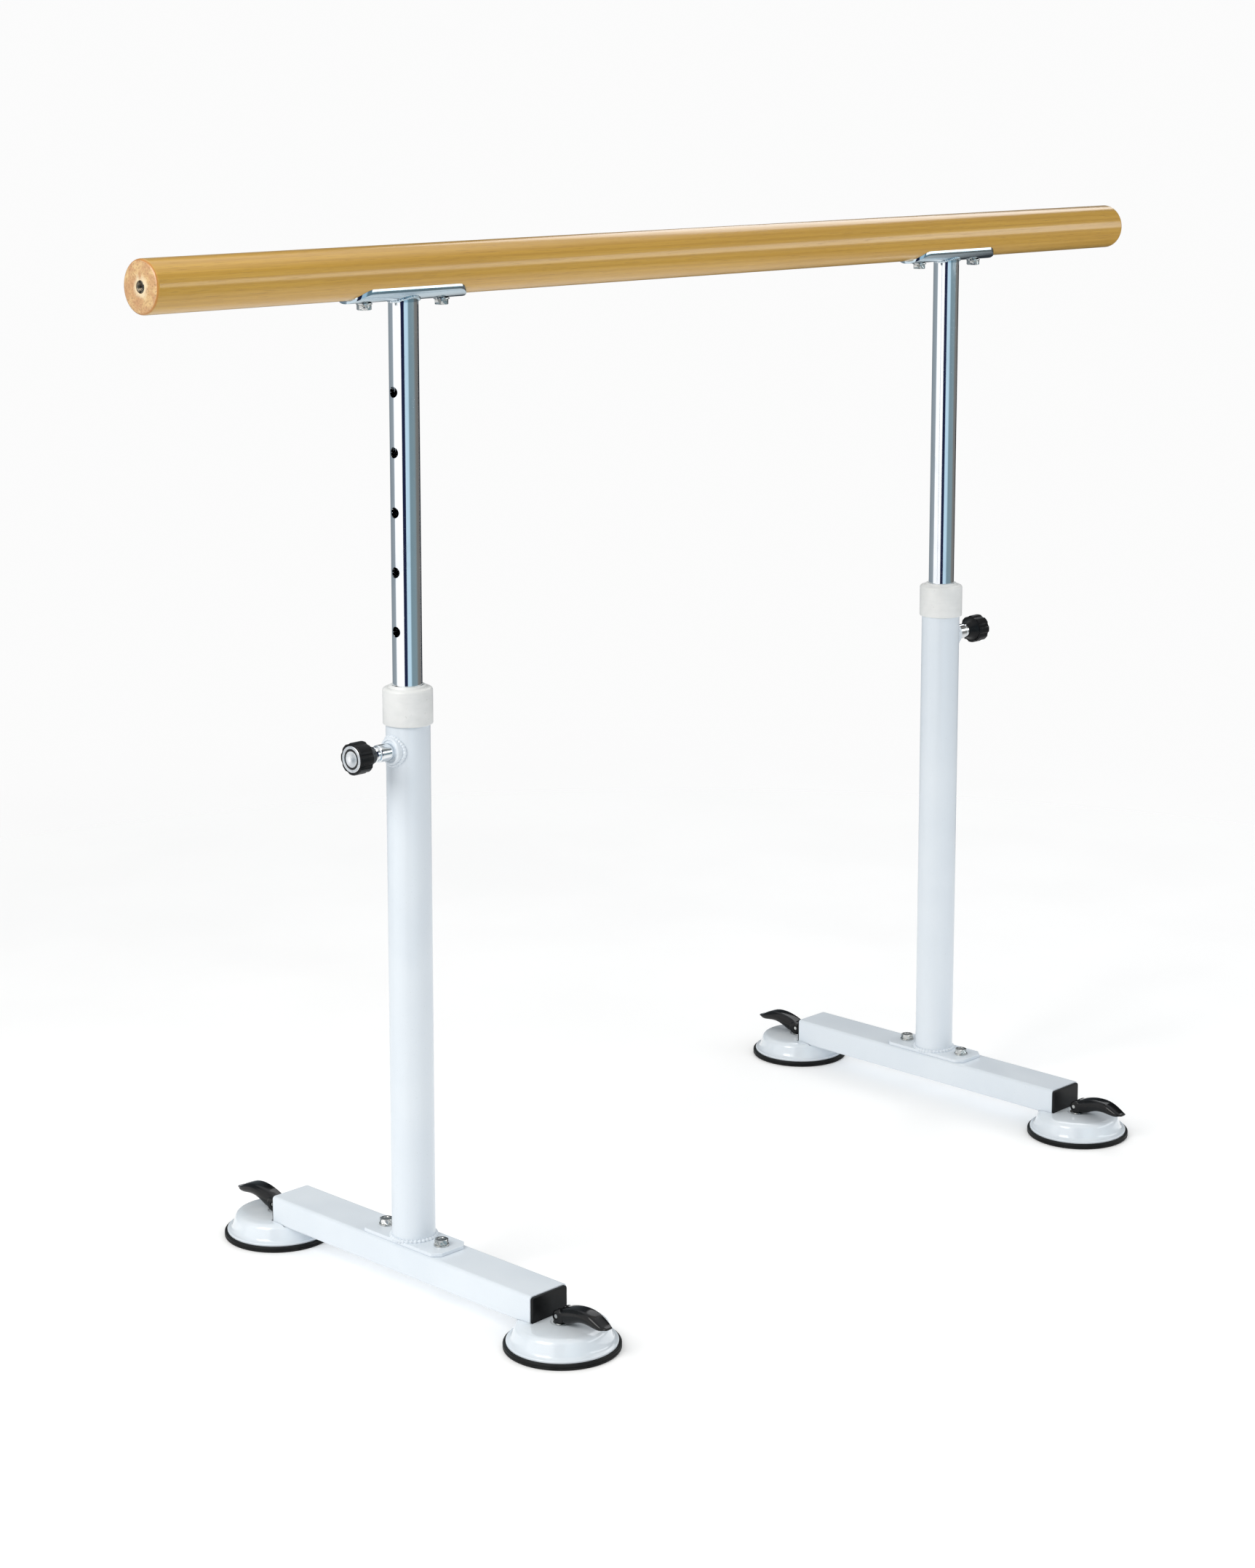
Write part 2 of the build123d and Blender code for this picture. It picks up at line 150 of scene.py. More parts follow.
class Finish(Bench):
    def __init__(self, name, **constants):
        self.material = bpy.data.materials.new(name)
        self.material.use_nodes = True
        super().__init__(self.material.node_tree)
        self.shader = self.tree.nodes["Principled BSDF"]
        for socket, value in constants.items():
            self.shader.inputs[socket.replace("_", " ")].default_value = value
        self.place = self.node("ShaderNodeTexCoord", output="Object")

    def stretched(self, scale=(1, 1, 1), shift=(0, 0, 0)):
        return self.node("ShaderNodeMapping", {}, {"Vector": self.place, "Scale": scale, "Location": shift})

    def noise(self, scale, detail=2.0, stretch=(1, 1, 1), rough=0.5, warp=0.0):
        where = self.place if stretch == (1, 1, 1) else self.stretched(stretch)
        values = {"Vector": where, "Scale": scale, "Detail": detail, "Roughness": rough, "Distortion": warp}
        return self.node("ShaderNodeTexNoise", {}, values)

    def axes(self, vector):
        return [self.node("ShaderNodeSeparateXYZ", {}, [vector], output=i) for i in range(3)]

    def feed(self, colour=None, rough=None, bumps=(), metal=None, alpha=None):
        links = {"Base Color": colour, "Roughness": rough, "Metallic": metal, "Alpha": alpha}
        normal = None
        for height, strength, distance in bumps:
            values = {"Height": height, "Strength": strength, "Distance": distance}
            if normal:
                values["Normal"] = normal
            normal = self.node("ShaderNodeBump", {}, values)
        links["Normal"] = normal
        for socket, wire in links.items():
            if wire is not None:
                self.tree.links.new(wire.socket, self.shader.inputs[socket])
        return self.material


# ---- finishes
wood = {
    "early": (0.715, 0.420, 0.068),
    "late": (0.585, 0.318, 0.036),
    "endPale": (0.70, 0.47, 0.22),
    "endPink": (0.55, 0.30, 0.14),
    "endLight": (0.88, 0.76, 0.52),
    "rimTone": (0.50, 0.20, 0.035),
    "ringScale": 58.0,
    "pith": (-0.018, -0.030),
}


def lacqueredWood():
    make = Finish("lacqueredWood", Coat_Weight=0.7, Coat_Roughness=0.14, IOR=1.5, Specular_IOR_Level=0.35)
    x, y, z = make.axes(make.stretched(shift=(0, 0, -barZ)))
    fromPith = (0, -wood["pith"][0], -barZ - wood["pith"][1])
    rings = make.node(
        "ShaderNodeTexWave",
        {"wave_type": "RINGS", "rings_direction": "X", "wave_profile": "SIN"},
        {"Vector": make.stretched((0.03, 1, 1), fromPith), "Scale": wood["ringScale"], "Distortion": 3.2,
         "Detail": 3.0, "Detail Scale": 28.0, "Detail Roughness": 0.55},
        output="Fac",
    )
    fibres = make.noise(1.0, 4.0, (5, 620, 620), 0.6)
    pores = make.ranged(make.noise(1.0, 2.0, (38, 1500, 1500), 0.5), 0.60, 0.72)
    drift = make.noise(1.0, 3.0, (1.6, 22, 22), 0.5, 0.4)
    face = make.mixed(make.ranged(rings, 0.25, 1.0, 0.0, 0.6), wood["early"], wood["late"])
    face = make.mixed(make.ranged(drift, 0.38, 0.70, 0.0, 0.55), face, (0.63, 0.345, 0.060))
    face = make.mixed(make.ranged(fibres, 0.3, 0.72, 0.0, 0.38), face, (0.48, 0.250, 0.040))
    face = make.mixed(pores * 0.42, face, (0.29, 0.135, 0.024))
    speckle = make.noise(520.0, 3.0, rough=0.65)
    blotch = make.noise(95.0, 2.0, warp=0.6)
    end = make.mixed(make.ranged(blotch, 0.36, 0.66), wood["endPale"], wood["endPink"])
    end = make.mixed(make.ranged(rings, 0.5, 1.0, 0.0, 0.45), end, (0.52, 0.30, 0.13))
    end = make.mixed(make.ranged(speckle, 0.50, 0.68, 0.0, 0.7), end, (0.25, 0.13, 0.055))
    fromAxis = make.node("ShaderNodeVectorMath", {"operation": "LENGTH"},
                         [make.node("ShaderNodeCombineXYZ", {}, [0.0, y, z])], output="Value")
    halo = make.ranged(fromAxis + blotch * 0.012, 19 * mm, 12 * mm)
    end = make.mixed(halo * 0.7, end, wood["endLight"])
    reach = make.node("ShaderNodeMath", {"operation": "ABSOLUTE"}, [x])
    rim = make.ranged(reach, barHalf - 2.4 * mm, barHalf - 1.1 * mm)
    cut = make.ranged(reach, barHalf - 0.6 * mm, barHalf - 0.15 * mm)
    colour = make.mixed(rim * 0.9, face, wood["rimTone"])
    colour = make.mixed(cut, colour, end)
    rough = make.ranged(fibres, 0.2, 0.8, 0.26, 0.36) + pores * 0.08 + cut * 0.22
    bumps = [(fibres, 0.10, 0.00012), (pores * -1.0, 0.18, 0.0002), (speckle * cut, 0.25, 0.0003)]
    return make.feed(colour, rough, bumps)


def powderCoat():
    make = Finish("powderCoat", Coat_Weight=0.25, Coat_Roughness=0.18, IOR=1.5)
    peel = make.noise(420.0, 2.0, rough=0.45)
    grit = make.noise(2300.0, 1.0)
    cloud = make.noise(9.0, 3.0, warp=0.5)
    fleck = make.ranged(make.noise(640.0, 1.0), 0.73, 0.79)
    scuff = make.ranged(make.noise(1.0, 4.0, (55, 55, 900), 0.7), 0.69, 0.80)
    colour = make.mixed(make.ranged(cloud, 0.3, 0.7), (0.715, 0.775, 0.835), (0.755, 0.810, 0.862))
    colour = make.mixed(fleck * 0.30, colour, (0.42, 0.45, 0.48))
    colour = make.mixed(scuff * 0.28, colour, (0.52, 0.55, 0.58))
    rough = make.ranged(cloud, 0.3, 0.7, 0.31, 0.39) + scuff * 0.15
    return make.feed(colour, rough, [(peel, 0.16, 0.0005), (grit, 0.06, 0.0001)])


def glossWhite():
    make = Finish("glossWhite", Coat_Weight=0.5, Coat_Roughness=0.05, IOR=1.49)
    sink = make.noise(34.0, 2.0, warp=0.3)
    grain = make.noise(1500.0, 1.0)
    haze = make.ranged(make.noise(70.0, 3.0, rough=0.65), 0.45, 0.75)
    hair = make.ranged(make.noise(1.0, 4.0, (900, 70, 300), 0.7), 0.70, 0.78)
    colour = make.mixed(make.ranged(sink, 0.3, 0.7), (0.735, 0.795, 0.850), (0.780, 0.832, 0.880))
    colour = make.mixed(hair * 0.18, colour, (0.55, 0.58, 0.62))
    rough = make.ranged(haze, 0.0, 1.0, 0.13, 0.21) + hair * 0.15
    return make.feed(colour, rough, [(sink, 0.10, 0.0012), (grain, 0.03, 0.0001)])


saddlePaintedReflection = (31.0, 29.5)  # below the bar's axis: where the saddle plates' darker tint, a painted reflection, starts and is full


def brightChrome():
    make = Finish("brightChrome", Metallic=1.0)
    polish = make.noise(1.0, 3.0, (420, 420, 7), 0.6)
    smear = make.ranged(make.noise(26.0, 4.0, (1, 1, 0.45), 0.6, 0.8), 0.48, 0.74)
    dust = make.ranged(make.noise(900.0, 1.0), 0.71, 0.78)
    colour = make.mixed(smear, (0.80, 0.825, 0.845), (0.715, 0.745, 0.775))
    colour = make.mixed(dust * 0.4, colour, (0.45, 0.47, 0.49))
    height = make.axes(make.place)[2]
    # painted reflection: above this height the chrome's colour goes dark blue-grey, standing in for the dark
    # reflection the saddle plates show
    paintedReflectionMask = make.ranged(height, barZ - saddlePaintedReflection[0] * mm, barZ - saddlePaintedReflection[1] * mm)
    colour = make.mixed(paintedReflectionMask * 0.85, colour, (0.40, 0.50, 0.56))
    rough = make.ranged(polish, 0.25, 0.75, 0.035, 0.085) + smear * 0.07 + dust * 0.2
    return make.feed(colour, rough, [(polish, 0.035, 0.0002), (smear, 0.03, 0.0004)])


def zincPlate():
    make = Finish("zincPlate", Metallic=1.0)
    tiles = make.node("ShaderNodeTexVoronoi", {"feature": "F1"}, {"Vector": make.place, "Scale": 760.0},
                      output="Distance")
    cloud = make.noise(120.0, 3.0, rough=0.6)
    turning = make.noise(1.0, 2.0, (300, 300, 2400), 0.5)
    colour = make.mixed(make.ranged(cloud, 0.3, 0.7), (0.50, 0.51, 0.50), (0.66, 0.66, 0.63))
    colour = make.mixed(make.ranged(tiles, 0.2, 0.8, 0.0, 0.22), colour, (0.34, 0.36, 0.38))
    rough = make.ranged(cloud, 0.3, 0.7, 0.20, 0.32)
    return make.feed(colour, rough, [(turning, 0.10, 0.0001), (tiles, 0.05, 0.0001)])


def mouldedNylon():
    make = Finish("mouldedNylon", Coat_Weight=0.12, Coat_Roughness=0.3, IOR=1.53)
    cloud = make.noise(42.0, 3.0, rough=0.6, warp=0.5)
    flow = make.noise(1.0, 3.0, (60, 60, 260), 0.6)
    grain = make.noise(1300.0, 2.0)
    speck = make.ranged(make.noise(420.0, 1.0), 0.72, 0.78)
    colour = make.mixed(make.ranged(cloud, 0.3, 0.7), (0.765, 0.775, 0.765), (0.815, 0.820, 0.812))
    colour = make.mixed(make.ranged(flow, 0.4, 0.75, 0.0, 0.25), colour, (0.70, 0.715, 0.71))
    colour = make.mixed(speck * 0.35, colour, (0.45, 0.44, 0.42))
    rough = make.ranged(cloud, 0.3, 0.7, 0.36, 0.46)
    return make.feed(colour, rough, [(flow, 0.06, 0.0004), (grain, 0.07, 0.0001)])


def glossBlack():
    make = Finish("glossBlack", Coat_Weight=0.22, Coat_Roughness=0.07, Specular_IOR_Level=0.16)
    haze = make.ranged(make.noise(90.0, 4.0, rough=0.65), 0.45, 0.78)
    hair = make.ranged(make.noise(1.0, 4.0, (1000, 60, 400), 0.7), 0.68, 0.76)
    wave = make.noise(60.0, 1.0)
    colour = make.mixed(haze, (0.0040, 0.0042, 0.0046), (0.0085, 0.0088, 0.0095))
    colour = make.mixed(hair * 0.30, colour, (0.07, 0.07, 0.075))
    rough = make.ranged(haze, 0.0, 1.0, 0.14, 0.26) + hair * 0.15
    return make.feed(colour, rough, [(wave, 0.06, 0.0008), (hair, 0.04, 0.0001)])


def mouldedBlack():
    make = Finish("mouldedBlack", Coat_Weight=0.05, Coat_Roughness=0.25, Specular_IOR_Level=0.16)
    spark = make.noise(1500.0, 2.0, rough=0.6)
    haze = make.ranged(make.noise(70.0, 3.0, rough=0.6), 0.42, 0.76)
    rub = make.ranged(make.noise(1.0, 4.0, (240, 240, 45), 0.7), 0.66, 0.78)
    colour = make.mixed(haze, (0.0045, 0.0048, 0.0054), (0.0095, 0.0098, 0.0108))
    colour = make.mixed(rub * 0.35, colour, (0.060, 0.060, 0.063))
    rough = make.ranged(haze, 0.0, 1.0, 0.34, 0.48)
    return make.feed(colour, rough, [(spark, 0.14, 0.00015), (rub, 0.05, 0.0002)])


def softRubber():
    make = Finish("softRubber", Specular_IOR_Level=0.16)
    grain = make.noise(1100.0, 3.0, rough=0.6)
    z = make.axes(make.place)[2]
    film = make.ranged(make.noise(48.0, 4.0, rough=0.65), 0.40, 0.72)
    low = make.ranged(z, 3.2 * mm, 0.0)
    colour = make.mixed(film, (0.0055, 0.0060, 0.0062), (0.0135, 0.0142, 0.0145))
    colour = make.mixed(low * film * 0.4, colour, (0.050, 0.049, 0.047))
    rough = make.ranged(film, 0.0, 1.0, 0.46, 0.66)
    return make.feed(colour, rough, [(grain, 0.16, 0.0002)])


disc = {"darkIn": 8.2, "darkOut": 10.5, "turning": 0.32}


def turnedDisc():
    make = Finish("turnedDisc")
    y, z = make.axes(make.stretched(shift=(0, 0, -pinZ)))[1:]
    reach = make.node("ShaderNodeVectorMath", {"operation": "LENGTH"},
                      [make.node("ShaderNodeCombineXYZ", {}, [0.0, y, z])], output="Value")
    turning = reach * (math.tau / (disc["turning"] * mm))
    grooves = make.node("ShaderNodeMath", {"operation": "SINE"}, [turning])
    inner = make.ranged(reach, (disc["darkIn"] - 0.12) * mm, (disc["darkIn"] + 0.12) * mm)
    outer = make.ranged(reach, (disc["darkOut"] - 0.12) * mm, (disc["darkOut"] + 0.12) * mm)
    dark = inner * (1 - outer)
    haze = make.noise(160.0, 3.0, rough=0.6)
    bright = make.mixed(make.ranged(haze, 0.3, 0.7), (0.86, 0.87, 0.88), (0.94, 0.945, 0.95))
    colour = make.mixed(dark, bright, (0.005, 0.005, 0.006))
    rough = make.ranged(haze, 0.3, 0.7, 0.26, 0.36) + dark * 0.1
    metal = 1 - dark
    return make.feed(colour, rough, [(grooves * (1 - dark), 0.10, 0.00006)], metal)


def brassInPaintedShade():
    make = Finish("brassInPaintedShade", Metallic=1.0)
    cloud = make.noise(260.0, 3.0, rough=0.6)
    turning = make.noise(1.0, 2.0, (2600, 420, 420), 0.5)
    # painted shade: both brass tones are far darker than bare brass, so the end insert reads as shaded
    colour = make.mixed(make.ranged(cloud, 0.35, 0.7), (0.26, 0.22, 0.16), (0.16, 0.135, 0.10))
    rough = make.ranged(cloud, 0.3, 0.7, 0.22, 0.38)
    return make.feed(colour, rough, [(turning, 0.12, 0.0001)])


def springWire():
    make = Finish("springWire", Metallic=1.0)
    drawn = make.noise(1.0, 3.0, (1500, 1500, 1500), 0.6)
    cloud = make.noise(300.0, 2.0)
    colour = make.mixed(make.ranged(cloud, 0.3, 0.7), (0.50, 0.51, 0.53), (0.62, 0.63, 0.65))
    return make.feed(colour, make.ranged(drawn, 0.3, 0.7, 0.24, 0.36), [(drawn, 0.08, 0.0001)])


finishOf = {
    "bar_wood": lacqueredWood(),
    "brass_insert": brassInPaintedShade(),
    "zinc_hardware": zincPlate(),
    "chromed_steel": brightChrome(),
    "nylon": mouldedNylon(),
    "white_powder_coat": powderCoat(),
    "disc_metal": turnedDisc(),
    "black_plastic": mouldedBlack(),
    "spring_steel": springWire(),
    "black_rubber": softRubber(),
    "white_plastic": glossWhite(),
    "black_gloss_plastic": glossBlack(),
}
for node, part in frame["nodes"].items():
    part.data.materials.clear()
    part.data.materials.append(finishOf[slotOf[node]])
print("finishes made:", len(finishOf))


# ---- modelling helpers, all in millimetres until a piece is kept
def freeSelection():
    if bpy.context.object and bpy.context.object.mode != "OBJECT":
        bpy.ops.object.mode_set(mode="OBJECT")
    bpy.ops.object.select_all(action="DESELECT")


def pick(part):
    freeSelection()
    part.select_set(True)
    bpy.context.view_layer.objects.active = part
    return part


def settle(part):  # the piece's place goes into its mesh
    pick(part)
    bpy.ops.object.transform_apply(location=True, rotation=True, scale=True)
    return part


def tidyFaces(part):
    pick(part)
    bpy.ops.object.mode_set(mode="EDIT")
    bpy.ops.mesh.select_all(action="SELECT")
    bpy.ops.mesh.remove_doubles(threshold=0.0004)
    bpy.ops.mesh.normals_make_consistent(inside=False)
    bpy.ops.object.mode_set(mode="OBJECT")
    return part


def turned(outline, steps=96, closed=True):  # outline points are (radius, height), turned round z
    freeSelection()
    bpy.ops.mesh.primitive_plane_add(size=0.1, location=(outline[0][0], 0, outline[0][1]))
    part = bpy.context.object
    bpy.ops.object.mode_set(mode="EDIT")
    bpy.ops.mesh.select_mode(type="VERT")
    bpy.ops.mesh.merge(type="CENTER")
    path = outline + [outline[0]] if closed else outline
    for (fromR, fromZ), (toR, toZ) in zip(path, path[1:]):
        bpy.ops.mesh.extrude_region_move(TRANSFORM_OT_translate={"value": (toR - fromR, 0, toZ - fromZ)})
    bpy.ops.mesh.select_all(action="SELECT")
    bpy.ops.mesh.spin(steps=steps, angle=math.tau, center=(0, 0, 0), axis=(0, 0, 1))
    settle(part)
    return tidyFaces(part)


def arc(centreR, centreZ, radius, start, stop, count=5):  # outline points along a round corner
    turn = [math.radians(start + (stop - start) * i / count) for i in range(count + 1)]
    return [(centreR + radius * math.cos(a), centreZ + radius * math.sin(a)) for a in turn]


def useModifier(part, kind, **settings):
    pick(part)
    modifier = part.modifiers.new("shape", kind)
    for key, value in settings.items():
        setattr(modifier, key, value)
    bpy.ops.object.modifier_apply(modifier=modifier.name)
    return part


def soften(part, width, segments=2, angle=35):  # rounds the edges that are sharper than the angle
    return useModifier(part, "BEVEL", width=width, segments=segments, limit_method="ANGLE",
                       angle_limit=math.radians(angle), harden_normals=False)


def carve(part, *tools, operation="DIFFERENCE"):
    for tool in tools:
        useModifier(part, "BOOLEAN", object=tool, operation=operation, solver="EXACT")
        bpy.data.objects.remove(tool)
    return part


def block(size, at):
    freeSelection()
    bpy.ops.mesh.primitive_cube_add(size=1, location=at, scale=size)
    return settle(bpy.context.object)


def peg(radius, low, high, at=(0, 0), steps=64):
    freeSelection()
    bpy.ops.mesh.primitive_cylinder_add(vertices=steps, radius=radius, depth=high - low,
                                        location=(at[0], at[1], (low + high) / 2))
    return settle(bpy.context.object)


def turnTo(part, turn):  # turn is a matrix
    part.data.transform(turn)
    return part


def selectEdges(part, wanted):  # wanted says yes or no for the two ends of an edge
    pick(part)
    bpy.ops.object.mode_set(mode="EDIT")
    bpy.ops.mesh.select_mode(type="EDGE")
    bpy.ops.mesh.select_all(action="DESELECT")
    bpy.ops.object.mode_set(mode="OBJECT")
    points = part.data.vertices
    for edge in part.data.edges:
        edge.select = wanted(points[edge.vertices[0]].co, points[edge.vertices[1]].co)
    bpy.ops.object.mode_set(mode="EDIT")


def selectFaces(part, wanted):
    pick(part)
    bpy.ops.object.mode_set(mode="EDIT")
    bpy.ops.mesh.select_mode(type="FACE")
    bpy.ops.mesh.select_all(action="DESELECT")
    bpy.ops.object.mode_set(mode="OBJECT")
    for face in part.data.polygons:
        face.select = wanted(face)
    bpy.ops.object.mode_set(mode="EDIT")


def roundedBlock(size, at, axis, radius, segments):  # the four edges along one axis are rounded
    part = block(size, at)
    others = [i for i in range(3) if i != axis]
    selectEdges(part, lambda a, b: all(abs(a[i] - b[i]) < 0.001 for i in others))
    bpy.ops.mesh.bevel(offset=radius, segments=segments)
    bpy.ops.object.mode_set(mode="OBJECT")
    return part


def bead(points, radius, ripple=0.14, pitch=2.6):  # a weld bead along a closed line of points
    freeSelection()
    bpy.ops.curve.primitive_bezier_circle_add(radius=1)
    line = bpy.context.object
    line.data.splines.clear()
    spline = line.data.splines.new("POLY")
    spline.points.add(len(points) - 1)
    travelled = 0.0
    for i, (point, here) in enumerate(zip(spline.points, points)):
        travelled += (Vector(here) - Vector(points[i - 1])).length if i else 0.0
        point.co = (*here, 1)
        point.radius = 1 + ripple * math.cos(math.tau * travelled / pitch)
    spline.use_cyclic_u = True
    line.data.dimensions = "3D"
    line.data.bevel_depth = radius
    line.data.bevel_resolution = 3
    bpy.ops.object.convert(target="MESH")
    return tidyFaces(bpy.context.object)


def joined(*parts):
    pick(parts[0])
    for part in parts:
        part.select_set(True)
    bpy.ops.object.join()
    return parts[0]


def smooth(part, angle=38):
    pick(part)
    bpy.ops.object.shade_smooth_by_angle(angle=math.radians(angle))
    return part


def keep(model, name, body, nodes, move=Matrix()):  # a copy of the model, in its place in metres
    part = model.copy()
    part.data = model.data.copy()
    part.name = name
    bpy.context.scene.collection.objects.link(part)
    part.data.transform(move @ Matrix.Scale(mm, 4))
    slotName = slotOf[nodes[0]]
    part.data.materials.clear()
    part.data.materials.append(finishOf[slotName])
    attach(part, body)
    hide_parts(*nodes)
    return part


def drop(*models):
    for model in models:
        bpy.data.objects.remove(model)


def at(x, y, z, turn=0.0):
    return Matrix.Translation((x, y, z)) @ Matrix.Rotation(math.radians(turn), 4, "Z")


alongX = Matrix.Rotation(math.radians(90), 4, "Y")


# ---- wooden bar and the inserts in its ends
bar = {"radius": 26.0, "edge": 3.0, "insert": 6.0, "insertLength": 16.0, "thread": 3.4, "pitch": 1.25,
       "slotWidth": 1.6, "slotDepth": 1.5}


def makeBar():
    half = barHalf / mm
    hole = bar["insert"] + 0.05
    core = half - bar["insertLength"] - 0.5
    edge = bar["edge"]
    end = [(0, core), (hole, core), (hole, half - 0.35), (hole + 0.35, half)]
    end += arc(bar["radius"] - edge, half - edge, edge, 90, 0, 6)
    outline = end + [(r, -h) for r, h in reversed(end)]
    part = turnTo(turned(outline, 144, closed=False), alongX)
    keep(smooth(part), "woodBar", "bar", ["wood_bar"], at(0, 0, barZ))
    drop(part)


def makeEndInsert():
    length, reach, thread, pitch = bar["insertLength"], bar["insert"], bar["thread"], bar["pitch"]
    outline = [(thread + 0.6, 0), (reach - 0.4, 0), (reach, -0.4), (reach, -length), (thread, -length)]
    turns = int((length - 2) / pitch)
    for turn in reversed(range(turns)):
        low = -0.9 - turn * pitch
        outline += [(thread, low - 0.75 * pitch), (thread + 0.62, low - 0.4 * pitch), (thread, low)]
    part = turned(outline, 72)
    slot = block((2 * reach + 2, bar["slotWidth"], 2 * bar["slotDepth"]), (0, 0, 0))
    carve(part, slot)
    soften(part, 0.12, 1, 50)
    return turnTo(smooth(part, 30), alongX)


def placeInserts():
    part = makeEndInsert()
    for side, sign in sides.items():
        turn = 0 if sign > 0 else 180
        keep(part, side + "BarInsert", "bar", ["bar_end_inserts"], at(sign * barHalf, 0, barZ, turn))
    drop(part)


makeBar()
placeInserts()
print("bar made")


# ---- hexagon fasteners
bolt = {"radius": 4.0, "flats": 13.0, "head": 5.3, "washer": 8.0, "washerHole": 4.3, "washerThick": 1.6,
        "pitch": 1.25, "saddleX": 51.0, "postY": 42.0}


def hexPrism(flats, low, high, corner):  # the corners are turned off at the top
    part = peg(flats / math.sqrt(3), low, high, steps=6)
    reach = flats / math.sqrt(3) + 0.02
    outline = [(0, low), (reach, low), (reach, high - corner * 0.55), (reach - corner, high), (0, high)]
    return carve(part, turned(outline, 96, closed=False), operation="INTERSECT")


def makeBolt(length):  # the head stands on z = 0 and the shank runs down
    head = hexPrism(bolt["flats"], 0.25, bolt["head"], 1.1)
    soften(head, 0.18, 2, 25)
    radius = bolt["radius"]
    outline = [(0, 0.3), (bolt["flats"] / 2 - 0.2, 0.3), (bolt["flats"] / 2 - 0.2, 0), (radius, 0)]
    turns = int(12 / bolt["pitch"])
    low = -length + 0.8 + turns * bolt["pitch"]
    outline.append((radius, low))
    for turn in range(turns):
        top = low - turn * bolt["pitch"]
        outline += [(radius - 0.6, top - 0.5 * bolt["pitch"]), (radius - 0.05, top - bolt["pitch"])]
    outline += [(radius - 0.9, -length), (0, -length)]
    shank = turned(outline, 48, closed=False)
    dimple = turned([(0, bolt["head"] - 0.35), (3.2, bolt["head"] - 0.35), (3.7, bolt["head"] + 0.4),
                     (0, bolt["head"] + 0.4)], 48, closed=False)
    carve(head, dimple)
    return smooth(joined(head, shank), 30)


def makeWasher():
    hole, reach, thick = bolt["washerHole"], bolt["washer"], bolt["washerThick"]
    part = turned([(hole, 0), (reach, 0), (reach, thick), (hole, thick)], 72)
    soften(part, 0.28, 2)
    return smooth(part, 30)


def placeFasteners():
    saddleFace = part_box("saddle_washers")[0].z
    saddleBolt = makeBolt((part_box("saddle_bolts")[1].z - saddleFace) / mm)
    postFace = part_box("post_washers")[1].z
    postBolt = makeBolt((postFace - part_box("post_bolts")[0].z) / mm)
    washer = makeWasher()
    boltX, boltY = bolt["saddleX"] * mm, bolt["postY"] * mm
    over = Matrix.Rotation(math.pi, 4, "X")
    for side, sign in sides.items():
        for name, offset, turn in (("Inner", -sign, 12), ("Outer", sign, 37)):
            x = sign * postX + offset * boltX
            keep(saddleBolt, side + name + "SaddleBolt", "bar", ["saddle_bolts"],
                 at(x, 0, saddleFace, turn) @ over)
            keep(washer, side + name + "SaddleWasher", "bar", ["saddle_washers"], at(x, 0, saddleFace))
        for end, endSign in ends.items():
            y = endSign * boltY
            name = side + end.capitalize()
            keep(postBolt, name + "PostBolt", "stand", ["post_bolts"],
                 at(sign * postX, y, postFace, 20 + y * 300))
            keep(washer, name + "PostWasher", "stand", ["post_washers"],
                 at(sign * postX, y, plateTop))
    drop(saddleBolt, postBolt, washer)


placeFasteners()
print("fasteners made")


# ---- saddle plates and telescopic tubes
saddle = {"inner": 26.05, "thick": 3.0, "length": 152.0, "width": 43.0, "corner": 20.0, "hole": 4.3,
          "boltX": 51.0, "edge": 0.8, "bead": 1.7}
tube = {"inner": 15.0, "outer": 22.5, "wall": 1.5, "hole": 5.5, "holeCount": 7, "pitch": 60.0,
        "baseBead": 2.1, "pinHole": 7.0}


def makeSaddlePlate():
    inner, outer, half = saddle["inner"], saddle["inner"] + saddle["thick"], saddle["length"] / 2
    shell = turned([(inner, -half - 5), (outer, -half - 5), (outer, half + 5), (inner, half + 5)], 144)
    turnTo(shell, alongX)
    outline = roundedBlock((saddle["length"], saddle["width"], outer), (0, 0, -outer / 2 - 2), 2,
                           saddle["corner"], 14)
    carve(shell, outline, operation="INTERSECT")
    holes = [peg(saddle["hole"], -outer - 5, 0, (x, 0)) for x in (-saddle["boltX"], saddle["boltX"])]
    carve(shell, *holes)
    soften(shell, saddle["edge"], 3, 40)
    return smooth(shell, 30)


def tubeTopLine(radius, drop, count=150):  # where a tube of this radius meets the round plate above it
    reach = saddle["inner"] + saddle["thick"]
    line = []
    for i in range(count):
        turn = math.tau * i / count
        y = radius * math.sin(turn)
        line.append((radius * math.cos(turn), y, barZ / mm - math.sqrt(reach ** 2 - y ** 2) - drop))
    return line


